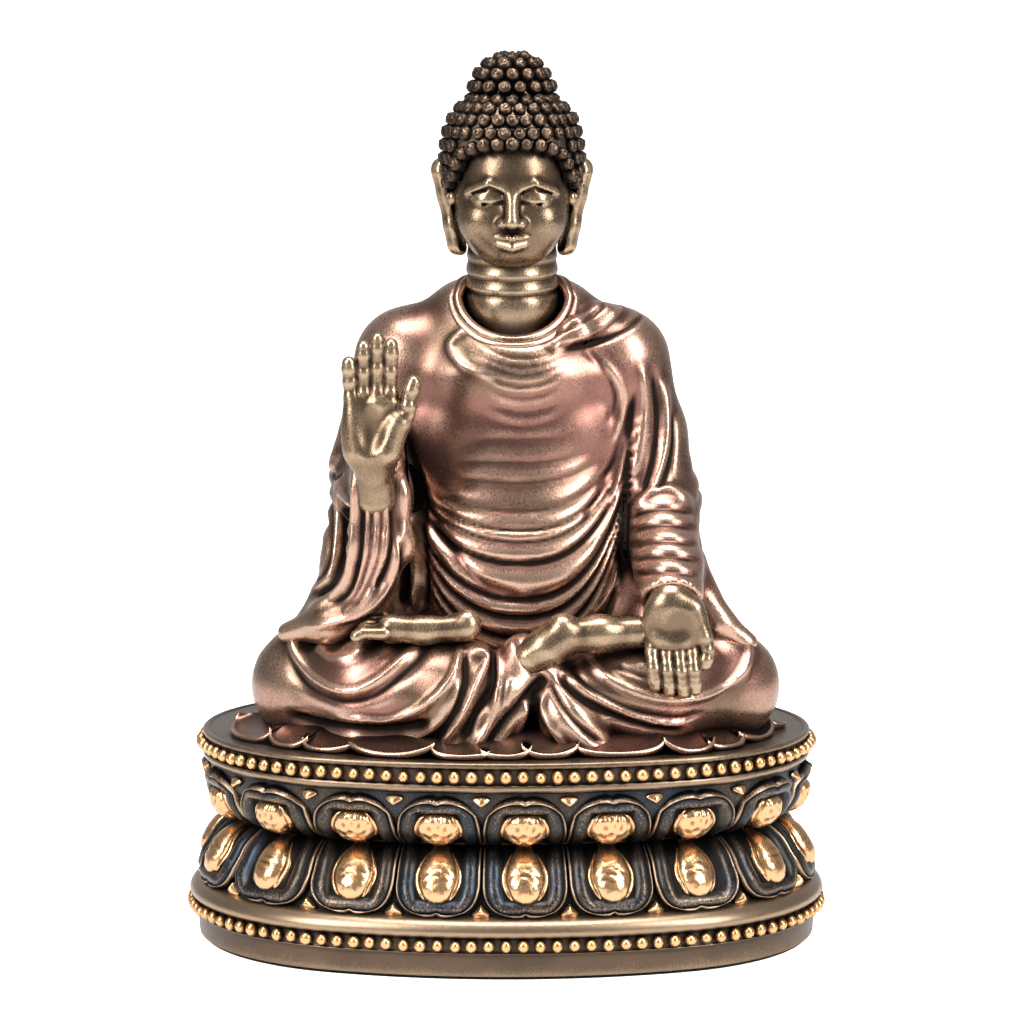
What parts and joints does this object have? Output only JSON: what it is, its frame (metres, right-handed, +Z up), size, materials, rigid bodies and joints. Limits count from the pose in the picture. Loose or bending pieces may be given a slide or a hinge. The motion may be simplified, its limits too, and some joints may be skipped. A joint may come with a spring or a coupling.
{
  "type": "seated buddha statue",
  "caption": "Seated Buddha with one hand raised on a double lotus throne with beaded bands; a desk or shelf statue in painted cold-cast bronze.",
  "frame": {"origin": "centre of the felt's underside, on the surface that the statue stands on", "axes": "+Z up, the statue faces -Y, its right hand is on the -X side"},
  "size_m": [0.1896, 0.1386, 0.26],
  "materials": {
    "felt": "matte",
    "aged_bronze": "satin",
    "robe_copper": "satin",
    "skin_bronze": "satin",
    "hair_bronze": "satin",
    "petal_slate": "satin",
    "bead_gold": "satin",
    "jewel_gold": "gloss",
    "steel": "satin"
  },
  "bodies": {
    "root": {"felt_pad": "felt", "plinth": "aged_bronze", "lower_beads": "bead_gold", "lower_lotus_core": "petal_slate", "lower_petals": "petal_slate", "lower_jewels": "jewel_gold", "lower_sepals": "jewel_gold", "waist_cord": "jewel_gold", "upper_lotus_core": "petal_slate", "upper_petals": "petal_slate", "upper_jewels": "jewel_gold", "upper_sepals": "jewel_gold", "deck": "aged_bronze", "upper_beads": "bead_gold", "throne_dowels": "steel", "figure_dowels": "steel", "robe_hem": "robe_copper", "right_leg_drape": "robe_copper", "left_leg_drape": "robe_copper", "lap_drape": "robe_copper", "robe_body": "robe_copper", "collar_trim": "robe_copper", "shoulder_flap": "robe_copper", "right_sleeve": "robe_copper", "left_sleeve": "robe_copper", "hanging_sleeve": "robe_copper", "right_hand": "skin_bronze", "left_hand": "skin_bronze", "right_foot": "skin_bronze", "left_foot": "skin_bronze", "neck": "skin_bronze", "head": "skin_bronze", "right_ear": "skin_bronze", "left_ear": "skin_bronze", "hair_cap": "hair_bronze", "hair_curls": "hair_bronze", "topknot": "hair_bronze", "topknot_curls": "hair_bronze", "neck_dowel": "steel", "right_wrist_dowel": "steel", "left_wrist_dowel": "steel"}
  },
  "joints": []
}
